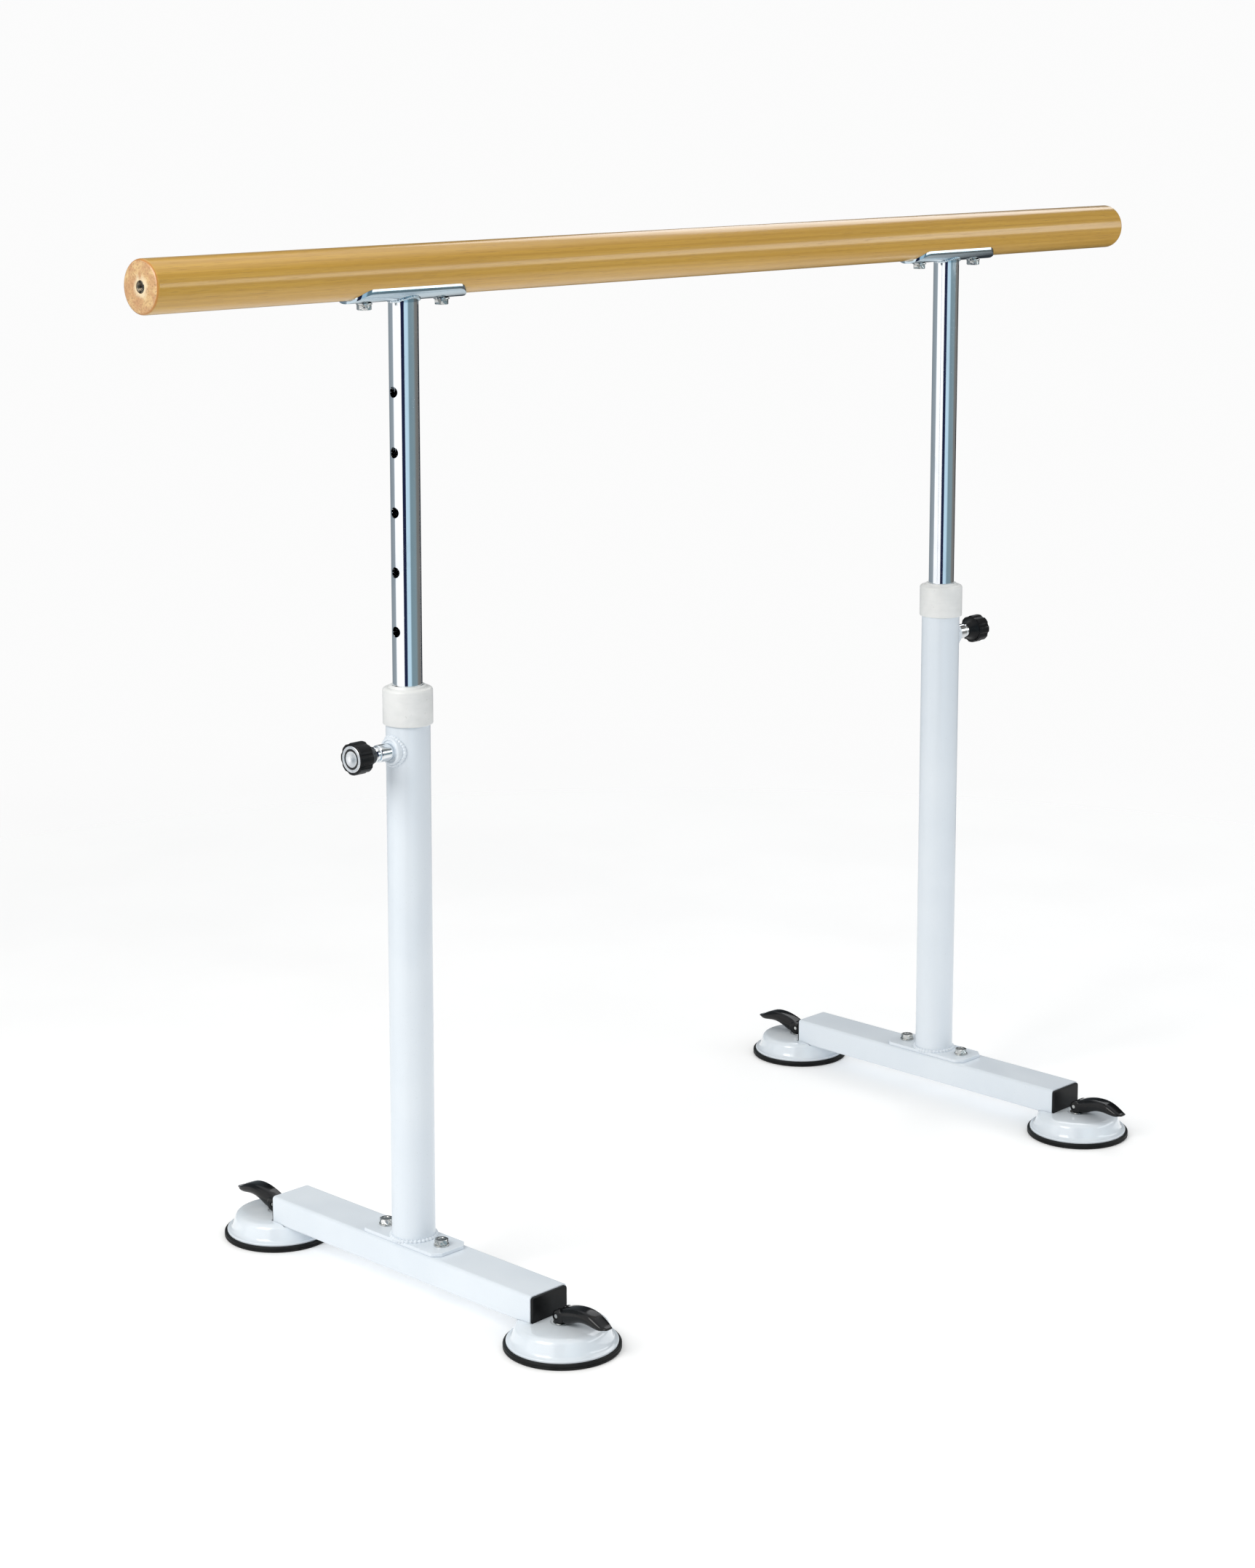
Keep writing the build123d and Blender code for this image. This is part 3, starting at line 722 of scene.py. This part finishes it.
def makeInnerTube():  # for the right side, with the holes towards +x
    low, high = [corner.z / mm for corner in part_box("right_inner_tube")]
    radius, wall = tube["inner"], tube["wall"]
    holes = [pinZ / mm + tube["pitch"] * step for step in range(tube["holeCount"])]
    outer = [(radius - 0.5, low), (radius, low + 0.5)]
    for z in holes:
        outer += [(radius, z - 9), (radius, z + 9)]
    outer += [(radius, high - 12), (radius, high + 5)]
    inner = [(radius - wall, high + 5), (radius - wall, low)]
    part = turned(outer + inner, 128)
    for z in holes:
        drill = turnTo(peg(tube["hole"], 0, 2 * radius, steps=48), Matrix.Translation((0, 0, z)) @ alongX)
        carve(part, drill)
    roof = turnTo(peg(saddle["inner"] + saddle["thick"], -40, 40, steps=144), alongX)
    carve(part, turnTo(roof, Matrix.Translation((0, 0, barZ / mm))))
    soften(part, 0.35, 2, 50)
    smooth(part, 30)
    useModifier(part, "WEIGHTED_NORMAL", keep_sharp=True)
    weld = smooth(bead(tubeTopLine(radius + 0.5, 0.3), saddle["bead"]), 60)
    return joined(part, weld)


def circle(radius, z, count=150):
    turns = [math.tau * i / count for i in range(count)]
    return [(radius * math.cos(a), radius * math.sin(a), z) for a in turns]


def makeOuterTube():
    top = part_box("right_collar")[1].z / mm - 8
    low = plateTop / mm
    radius, wall = tube["outer"], tube["wall"]
    pin = pinZ / mm
    outline = [(radius, low), (radius, low + 20), (radius, pin - 22), (radius, pin + 22), (radius, top - 0.4),
               (radius - 0.4, top), (radius - wall, top), (radius - wall, low)]
    part = turned(outline, 144)
    drill = turnTo(peg(tube["pinHole"], 0, 2 * radius), Matrix.Translation((0, 0, pin)) @ alongX)
    carve(part, drill)
    smooth(part, 30)
    weld = smooth(bead(circle(radius + 0.5, low + 0.5, 220), tube["baseBead"], 0.30, 4.2), 60)
    return joined(part, weld)


def placeTubes():
    plate, inner, outer = makeSaddlePlate(), makeInnerTube(), makeOuterTube()
    for side, sign in sides.items():
        turn = 0 if sign > 0 else 180
        keep(plate, side + "SaddlePlate", "bar", [side + "_saddle_plate"], at(sign * postX, 0, barZ, turn))
        keep(inner, side + "InnerTube", "bar", [side + "_inner_tube"], at(sign * postX, 0, 0, turn))
        keep(outer, side + "OuterTube", "stand", [side + "_outer_tube"], at(sign * postX, 0, 0, turn))
    drop(plate, inner, outer)


placeTubes()
print("tubes and saddle plates made")


# ---- collars
collar = {"radius": 25.4, "length": 40.0, "lip": 18.6, "bush": 15.3, "bushLength": 42.0, "seat": 22.55,
          "bushOuter": 20.9, "seatDepth": 8.0}


def makeCollar():
    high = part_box("right_collar")[1].z / mm
    radius = collar["radius"]
    low = high - collar["length"]
    bushLow = high - collar["bushLength"]
    seatTop = high - collar["seatDepth"]
    outline = [(collar["bush"], bushLow), (collar["bush"], high - 1.2)]
    outline += arc(collar["bush"] + 1.2, high - 1.2, 1.2, 180, 90, 4)
    outline += arc(collar["lip"] - 1, high - 1, 1.0, 90, 20, 4)
    outline += [(collar["lip"] + 0.9, high - 2.4)]
    outline += arc(radius - 3.4, high - 5.8, 3.4, 80, 0, 7)
    outline += [(radius, low + 12)]
    outline += arc(radius - 1.4, low + 1.4, 1.4, 0, -90, 5)
    outline += [(collar["seat"], low), (collar["seat"], seatTop), (collar["bushOuter"], seatTop),
                (collar["bushOuter"], bushLow)]
    return smooth(turned(outline, 144), 40)


def placeCollars():
    part = makeCollar()
    for side, sign in sides.items():
        keep(part, side + "Collar", "stand", [side + "_collar"], at(sign * postX, 0, 0))
    drop(part)


placeCollars()
print("collars made")


# ---- pull pins, modelled along +z and then laid along +x
pin = {"boss": 14.0, "bossReach": 26.0, "neck": 7.0, "neckStart": 19.8, "body": 8.8, "bodyEnd": 42.0,
       "sleeve": 7.8, "sleeveEnd": 47.0, "bore": 5.1, "rod": 3.05, "chamber": 6.4, "chamberStart": 28.8,
       "sleeveWall": 3.0, "grooveOut": 11.2, "bead": 1.9}
knob = {"start": 48.0, "neckEnd": 59.0, "neckSmall": 8.5, "neckBig": 13.0, "end": 76.0, "radius": 16.3,
        "edge": 1.6, "recess": 13.8, "depth": 1.2, "lobes": 8, "lobeDepth": 1.8, "lobeCut": 4.4, "disc": 13.6}


def makeBoss():
    reach, radius, groove = pin["bossReach"], pin["boss"], pin["grooveOut"]
    outline = [(pin["neck"], 12), (radius, 12)] + arc(radius - 1.8, reach - 1.8, 1.8, 0, 90, 5)
    outline += [(groove + 0.5, reach), (groove, reach - 0.5), (groove - 0.3, reach - 1.6),
                (pin["neck"], reach - 1.6)]
    part = turnTo(turned(outline, 96), alongX)
    carve(part, peg(tube["outer"], -40, 40, steps=144))
    smooth(part, 35)
    line = []
    for i in range(150):
        turn = math.tau * i / 150
        y, z = (radius + 0.5) * math.cos(turn), (radius + 0.5) * math.sin(turn)
        line.append((math.sqrt(tube["outer"] ** 2 - y ** 2) + 0.4, y, z))
    weld = smooth(bead(line, pin["bead"], 0.16, 3.0), 60)
    return joined(part, weld)


def makeHousing():
    wide, low, high = pin["body"], pin["bossReach"] - 1.6, pin["bodyEnd"]
    sleeve, end = pin["sleeve"], pin["sleeveEnd"]
    outline = [(0, pin["neckStart"]), (pin["neck"], pin["neckStart"]), (pin["neck"], low), (wide, low),
               (wide, high - 0.6), (wide - 0.6, high), (sleeve - 0.7, high + 0.3), (sleeve - 0.7, high + 1.2),
               (sleeve, high + 1.6), (sleeve, end - 0.8), (sleeve - 0.8, end), (0, end)]
    body = turned(outline, 96, closed=False)
    carve(body, peg(pin["bore"], 0, pin["chamberStart"]))
    carve(body, peg(pin["chamber"], pin["chamberStart"], end - pin["sleeveWall"]))
    carve(body, peg(pin["rod"], pin["chamberStart"], end + 2, steps=48))
    soften(body, 0.22, 2, 28)
    return turnTo(smooth(body, 30), alongX)


def makeKnob():
    end, radius, edge = knob["end"], knob["radius"], knob["edge"]
    outline = [(pin["rod"] - 0.02, knob["start"]), (knob["neckSmall"] - 0.6, knob["start"]),
               (knob["neckSmall"], knob["start"] + 0.8), (knob["neckBig"] - 2.4, knob["neckEnd"] - 4.5),
               (knob["neckBig"], knob["neckEnd"] - 0.4), (knob["neckBig"] + 0.6, knob["neckEnd"])]
    outline += arc(radius - edge, knob["neckEnd"] + edge, edge, -90, 0, 5)
    outline += arc(radius - edge, end - edge, edge, 0, 90, 5)
    outline += [(knob["recess"] + 0.1, end), (knob["recess"], end - 0.2),
                (knob["recess"], end - knob["depth"]), (pin["rod"] - 0.02, end - knob["depth"])]
    part = turned(outline, 144)
    for lobe in range(knob["lobes"]):
        turn = math.tau * (lobe + 0.5) / knob["lobes"]
        reach = radius + knob["lobeCut"] - knob["lobeDepth"]
        where = (reach * math.cos(turn), reach * math.sin(turn))
        carve(part, peg(knob["lobeCut"], knob["neckEnd"] - 1, end + 1, where, 48))
    soften(part, 0.7, 3, 32)
    return turnTo(smooth(part, 35), alongX)


def makeKnobDisc():
    end, radius = knob["end"], knob["disc"]
    floor = end - knob["depth"]
    outline = [(0, floor), (radius, floor), (radius, end - 0.35), (radius - 0.35, end),
               (disc["darkOut"] + 0.15, end), (disc["darkOut"], end - 0.3), (disc["darkIn"], end - 0.3),
               (disc["darkIn"] - 0.15, end), (3.2, end), (2.4, end - 0.25), (0, end - 0.35)]
    return turnTo(smooth(turned(outline, 128, closed=False), 30), alongX)


def placePins():
    boss, housing, grip, face = makeBoss(), makeHousing(), makeKnob(), makeKnobDisc()
    for side, sign in sides.items():
        place = at(sign * postX, 0, pinZ, 0 if sign > 0 else 180)
        keep(boss, side + "PinBoss", "stand", [side + "_pin_boss"], place)
        keep(housing, side + "PinHousing", "stand", [side + "_pin_housing"], place)
        keep(grip, side + "PinKnob", side + "_pull_pin", [side + "_pin_knob"], place)
        keep(face, side + "KnobDisc", side + "_pull_pin", [side + "_pin_knob_disc"], place)
    drop(boss, housing, grip, face)


placePins()
print("pull pins made")


# ---- feet
foot = {"beamWidth": 50.0, "beamHeight": 30.0, "beamLength": 394.0, "wall": 1.5, "corner": 3.0, "cap": 3.0,
        "capInset": 1.1, "plug": 11.0, "plateWidth": 46.0, "plateLength": 118.0, "plateThick": 4.0,
        "chamfer": 8.0, "boltY": 42.0}
beamMid = middle("right_foot_beam").z / mm


def makeBeam():
    part = roundedBlock((foot["beamWidth"], foot["beamLength"], foot["beamHeight"]), (0, 0, beamMid), 1,
                        foot["corner"], 6)
    selectFaces(part, lambda face: abs(face.normal.y) > 0.9)
    bpy.ops.mesh.delete(type="FACE")
    bpy.ops.object.mode_set(mode="OBJECT")
    useModifier(part, "SOLIDIFY", thickness=foot["wall"], offset=-1)
    smooth(tidyFaces(part), 35)
    return useModifier(part, "WEIGHTED_NORMAL", keep_sharp=True)


def makeFootPlate():
    low = beamMid + foot["beamHeight"] / 2
    size = (foot["plateWidth"], foot["plateLength"], foot["plateThick"])
    part = roundedBlock(size, (0, 0, low + foot["plateThick"] / 2), 2, foot["chamfer"], 1)
    for y in (-foot["boltY"], foot["boltY"]):
        carve(part, peg(bolt["washerHole"], low - 2, low + foot["plateThick"] + 2, (0, y)))
    soften(part, 0.7, 3, 30)
    smooth(part, 30)
    return useModifier(part, "WEIGHTED_NORMAL", keep_sharp=True)


def makeEndCap():  # for the back end, its face towards +y
    start, rim, wall = foot["beamLength"] / 2, foot["capInset"], foot["wall"] + 0.2
    size = (foot["beamWidth"] - 2 * rim, foot["cap"], foot["beamHeight"] - 2 * rim)
    part = roundedBlock(size, (0, start + foot["cap"] / 2, beamMid), 1, foot["corner"], 6)
    selectFaces(part, lambda face: face.normal.y > 0.9)
    bpy.ops.mesh.bevel(offset=0.9, segments=4, affect="EDGES")
    bpy.ops.object.mode_set(mode="OBJECT")
    selectFaces(part, lambda face: face.normal.y < -0.9)
    bpy.ops.mesh.inset(thickness=wall - rim, depth=0)
    bpy.ops.mesh.extrude_region_move(TRANSFORM_OT_translate={"value": (0, -foot["plug"], 0)})
    bpy.ops.mesh.inset(thickness=2.5, depth=0)
    bpy.ops.mesh.extrude_region_move(TRANSFORM_OT_translate={"value": (0, foot["plug"] - 1.5, 0)})
    bpy.ops.object.mode_set(mode="OBJECT")
    smooth(part, 40)
    return useModifier(part, "WEIGHTED_NORMAL", keep_sharp=True)


def placeFeet():
    beam, plate, cap = makeBeam(), makeFootPlate(), makeEndCap()
    for side, sign in sides.items():
        keep(beam, side + "FootBeam", "stand", [side + "_foot_beam"], at(sign * postX, 0, 0))
        keep(plate, side + "FootPlate", "stand", [side + "_foot_plate"], at(sign * postX, 0, 0))
        for end, endSign in ends.items():
            turn = 0 if endSign > 0 else 180
            keep(cap, side + end.capitalize() + "EndCap", "stand", ["beam_end_caps"],
                 at(sign * postX, 0, 0, turn))
    drop(beam, plate, cap)


placeFeet()
print("feet made")


# ---- suction cups, modelled for the back end, with the beam coming from -y
cup = {"pad": 59.0, "padHigh": 6.0, "ringInner": 52.0, "webLow": 3.8, "webHigh": 6.8, "web": 46.0,
       "flange": 56.0, "flangeTop": 8.6, "wallFoot": 51.2, "wallTop": 47.8, "wallHigh": 20.5,
       "shoulder": 42.5, "shoulderHigh": 25.5, "flat": 13.5, "high": 26.5, "dish": 11.0, "dishHigh": 25.3,
       "innerHigh": 18.5, "skin": 3.0, "guide": 10.0, "guideLow": 17.0, "stud": 3.06, "washer": 9.0,
       "washerThick": 1.2, "seatReach": 16.7, "seatWidth": 50.6, "seatLow": 23.0}


def makePad():
    outer, high = cup["pad"], cup["padHigh"]
    outline = [(0, cup["webLow"]), (cup["web"] - 6, cup["webLow"]), (cup["ringInner"], 0.0),
               (outer - 1.6, 0.0)]
    outline += arc(outer - 1.3, 1.3, 1.3, -90, 0, 4)
    outline += [(outer, high * 0.42), (outer - 0.5, high * 0.5), (outer, high * 0.58)]
    outline += arc(outer - 1.3, high - 1.3, 1.3, 0, 90, 4)
    outline += [(outer - 2.2, high), (outer - 2.5, high - 0.4), (outer - 2.8, high), (cup["web"], high),
                (cup["web"] - 6, cup["webHigh"]), (0, cup["webHigh"])]
    return smooth(turned(outline, 160, closed=False), 38)


def makeDome():
    stud, dish, foot, flangeTop = cup["stud"], cup["dish"], cup["wallFoot"], cup["flangeTop"]
    wallTop, wallHigh, shoulder, high = cup["wallTop"], cup["wallHigh"], cup["shoulder"], cup["high"]
    lip = 0.9
    outline = [(stud, cup["guideLow"]), (stud, cup["dishHigh"] - 0.3), (stud + 0.3, cup["dishHigh"]),
               (dish - 0.5, cup["dishHigh"]), (dish + 0.2, cup["dishHigh"] + 0.25), (dish + 0.8, high - 0.2),
               (dish + 1.4, high), (cup["flat"], high), (shoulder - 12, cup["shoulderHigh"] + 0.45)]
    outline += [(shoulder - 3, cup["shoulderHigh"] + 0.1), (shoulder - 0.5, cup["shoulderHigh"] - 0.25),
                (shoulder + 1.4, cup["shoulderHigh"] - 0.75), (shoulder + 2.9, cup["shoulderHigh"] - 1.55),
                (shoulder + 4.0, cup["shoulderHigh"] - 2.6), (shoulder + 4.75, cup["shoulderHigh"] - 3.9),
                (wallTop, wallHigh)]
    outline += [(wallTop + 0.7, wallHigh - 3.4), (foot - 1.4, flangeTop + 4.6),
                (foot - 0.55, flangeTop + 2.5), (foot + 0.3, flangeTop + 1.1),
                (foot + 1.4, flangeTop + 0.25), (foot + 2.4, flangeTop)]
    outline += arc(cup["flange"] - lip, flangeTop - lip, lip, 90, 0, 4)
    outline += [(cup["flange"], cup["padHigh"] + 0.1), (foot - cup["skin"], cup["padHigh"] + 0.1),
                (wallTop - cup["skin"], cup["innerHigh"]), (cup["guide"], cup["innerHigh"] + 1),
                (cup["guide"], cup["guideLow"])]
    part = turned(outline, 160)
    length = 2 * cup["pad"]
    seat = block((cup["seatWidth"], length, 40), (0, -cup["seatReach"] - length / 2, cup["seatLow"] + 20))
    carve(part, seat)
    soften(part, 0.45, 2, 42)
    return smooth(part, 32)


def makeCamWasher():
    thick = cup["washerThick"]
    part = turned([(cup["stud"], 0), (cup["washer"], 0), (cup["washer"], thick), (cup["stud"], thick)], 72)
    soften(part, 0.4, 3)
    return smooth(part, 35)


# the lever lies along +y; each station is (distance from the pin, top, bottom, width), with the top and the
# bottom measured from the pin's height
lever = {
    "hub": 7.25, "offset": 2.5, "width": 19.0, "slot": 6.8, "slotReach": 5.3, "slotMouth": 3.0,
    "pinHole": 2.05, "dimple": 3.1, "corner": 4.2,
    "stations": [(2.0, 6.9, -3.0, 18.8), (9.0, 10.4, -6.7, 18.8), (15.0, 12.2, -5.6, 18.8),
                 (22.0, 13.7, -1.9, 18.8), (30.0, 14.4, 0.9, 18.8), (38.0, 14.1, 1.7, 18.7),
                 (45.0, 12.6, 1.0, 18.4), (51.0, 10.1, 0.1, 17.8), (56.0, 7.3, -0.1, 16.6),
                 (59.5, 5.4, 0.7, 14.8), (61.6, 4.6, 1.5, 11.5), (64.6, 4.1, 1.7, 9.4)],
}


def makeLever():
    stations = lever["stations"]
    start, top, low, wide = stations[0]
    part = roundedBlock((wide, 2.0, top - low), (0, start - 1.0, (top + low) / 2), 1, lever["corner"], 3)
    selectFaces(part, lambda face: face.normal.y > 0.9)
    for (fromY, fromTop, fromLow, fromWide), (toY, toTop, toLow, toWide) in zip(stations, stations[1:]):
        rise = (toTop + toLow) / 2 - (fromTop + fromLow) / 2
        bpy.ops.mesh.extrude_region_move(TRANSFORM_OT_translate={"value": (0, toY - fromY, rise)})
        bpy.ops.transform.resize(value=(toWide / fromWide, 1, (toTop - toLow) / (fromTop - fromLow)))
    bpy.ops.mesh.inset(thickness=0.7, depth=0.25)
    bpy.ops.object.mode_set(mode="OBJECT")
    useModifier(part, "SUBSURF", levels=2, render_levels=2)
    hub, half = lever["hub"], lever["width"] / 2
    outline = [(0, -half), (lever["dimple"], -half)] + arc(hub - 1.3, -half + 1.3, 1.3, -90, 0, 5)
    outline += arc(hub - 1.3, half - 1.3, 1.3, 0, 90, 5) + [(lever["dimple"], half), (0, half)]
    barrel = turnTo(turned(outline, 96, closed=False), Matrix.Translation((0, lever["offset"], 0)) @ alongX)
    carve(part, barrel, operation="UNION")
    size = 4 * hub
    gapLow = block((lever["slot"], size, size),
                   (0, lever["slotReach"] - size / 2, lever["slotReach"] - size / 2))
    gapHigh = block((lever["slot"], size, size), (0, lever["slotMouth"] - size / 2, 0))
    carve(part, gapLow, gapHigh)
    carve(part, turnTo(peg(lever["pinHole"], -20, 20, steps=48), alongX))
    for x in (-half, half):
        outline = [(0, -0.9), (lever["dimple"], -0.9), (lever["dimple"] + 0.5, 0.5), (0, 0.5)]
        recess = turned(outline, 48, closed=False)
        flip = 1 if x > 0 else -1
        facing = Matrix.Rotation(flip * math.pi / 2, 4, "Y")
        carve(part, turnTo(recess, Matrix.Translation((x, 0, 0)) @ facing))
    soften(part, 0.3, 2, 50)
    return smooth(part, 35)


def placeCups():
    pad, dome, washer, arm = makePad(), makeDome(), makeCamWasher(), makeLever()
    for side, sign in sides.items():
        for end, endSign in ends.items():
            node = side + "_" + end
            name = side + end.capitalize()
            turn = 0 if endSign > 0 else 180
            x, y = sign * postX, endSign * cupY
            keep(pad, name + "CupPad", "stand", [node + "_cup_pad"], at(x, y, 0, turn))
            keep(dome, name + "CupDome", "stand", [node + "_cup_dome"], at(x, y, 0, turn))
            keep(washer, name + "CamWasher", "stand", [node + "_cam_washer"],
                 at(x, y, cup["dishHigh"] * mm, turn))
            keep(arm, name + "Lever", node + "_lever_arm", [node + "_lever"], at(x, y, leverPinZ, turn))
    drop(pad, dome, washer, arm)


placeCups()
print("suction cups made")


# ---- floor, light and surroundings
# each lamp is watts, degrees from the camera's heading, distance, height, width, depth and colour
lamps = {
    "keySoftbox": (42, -42, 2.6, 2.0, 1.5, 1.5, (1, 0.985, 0.96)),
    "stripSoftbox": (20, 88, 2.9, 1.28, 3.2, 0.8, (0.96, 0.98, 1)),
    "backSoftbox": (15, 165, 2.8, 2.6, 1.6, 1.6, (0.97, 0.98, 1)),
}


def addFloor():
    freeSelection()
    bpy.ops.mesh.primitive_plane_add(size=6, location=(0, 0, 0))
    floor = bpy.context.object
    floor.name = "studioFloor"
    make = Finish("paleFloor", Emission_Color=(1, 1, 1, 1), Emission_Strength=0.15)
    tone = make.noise(3.0, 3.0)
    colour = make.mixed(make.ranged(tone, 0.3, 0.7), (0.945, 0.947, 0.95), (0.955, 0.957, 0.96))
    reach = make.node("ShaderNodeVectorMath", {"operation": "LENGTH"}, [make.place], output="Value")
    fade = make.ranged(reach, 0.55, 2.6, 1.0, 0.0)
    floor.data.materials.append(make.feed(colour, make.ranged(tone, 0.3, 0.7, 0.55, 0.65), alpha=fade))


def addLamp(name):
    watts, aside, distance, height, width, depth, tint = lamps[name]
    turn = math.atan2(camera["place"][1], camera["place"][0]) + math.radians(aside)
    place = Vector((distance * math.cos(turn), distance * math.sin(turn), height))
    aim = (Vector((0, 0, 0.55)) - place).to_track_quat("-Z", "Y").to_euler()
    bpy.ops.object.light_add(type="AREA", location=place, rotation=aim)
    lamp = bpy.context.object
    lamp.name = name
    lamp.data.shape = "RECTANGLE"
    lamp.data.size, lamp.data.size_y = width, depth
    lamp.data.energy = watts
    lamp.data.color = tint


# what bright metal reflects all round: (degrees from the camera's heading, colour)
surround = [
    (-180, (0.05, 0.06, 0.07)), (-168, (0.24, 0.28, 0.31)), (-88, (0.36, 0.41, 0.45)),
    (-81, (1.25, 1.25, 1.27)), (-18, (1.25, 1.25, 1.27)), (-15, (0.014, 0.020, 0.060)),
    (7, (0.014, 0.020, 0.060)), (10, (0.62, 0.83, 0.98)), (34, (0.60, 0.82, 0.96)),
    (44, (0.22, 0.32, 0.37)), (84, (0.24, 0.33, 0.37)), (100, (0.22, 0.22, 0.21)),
    (128, (0.20, 0.19, 0.18)), (142, (0.03, 0.03, 0.035)), (180, (0.05, 0.06, 0.07)),
]


def addSky():
    world = bpy.data.worlds.new("studio")
    bpy.context.scene.world = world
    world.use_nodes = True
    world.node_tree.nodes.clear()
    sky = Bench(world.node_tree)
    heading = math.atan2(camera["place"][1], camera["place"][0])
    ray = sky.node("ShaderNodeTexCoord", output="Generated")
    turnedRay = sky.node("ShaderNodeMapping", {}, {"Vector": ray, "Rotation": (0, 0, -heading)})
    x, y, z = [sky.node("ShaderNodeSeparateXYZ", {}, [turnedRay], output=i) for i in range(3)]
    angle = sky.node("ShaderNodeMath", {"operation": "ARCTAN2"}, [y, x])
    stops = [(degrees / 360 + 0.5, tuple(c / 1.3 for c in colour)) for degrees, colour in surround]
    bands = sky.node("ShaderNodeValToRGB", {"stops": stops}, [angle / math.tau + 0.5])
    overhead = sky.ranged(z, 0.62, 0.80)
    bands = sky.mixed(overhead, bands, (0.85, 0.87, 0.90))
    soft = sky.mixed(sky.ranged(z, -0.2, 0.9), (0.76, 0.80, 0.84), (1.25, 1.25, 1.23))
    path = [sky.node("ShaderNodeLightPath", output=name) for name in ("Is Camera Ray", "Is Glossy Ray")]
    colour = sky.mixed(path[1], soft, bands)
    colour = sky.mixed(path[0], colour, (0.97, 0.97, 0.97))
    strength = sky.ranged(path[1], 0.0, 1.0, 0.54, 1.3)
    strength = strength * (1 - path[0]) + path[0]
    shader = sky.node("ShaderNodeBackground", {}, [colour, strength])
    sky.node("ShaderNodeOutputWorld", {}, [shader])


addFloor()
for name in lamps:
    addLamp(name)
addSky()
bpy.context.scene.view_settings.view_transform = "Standard"
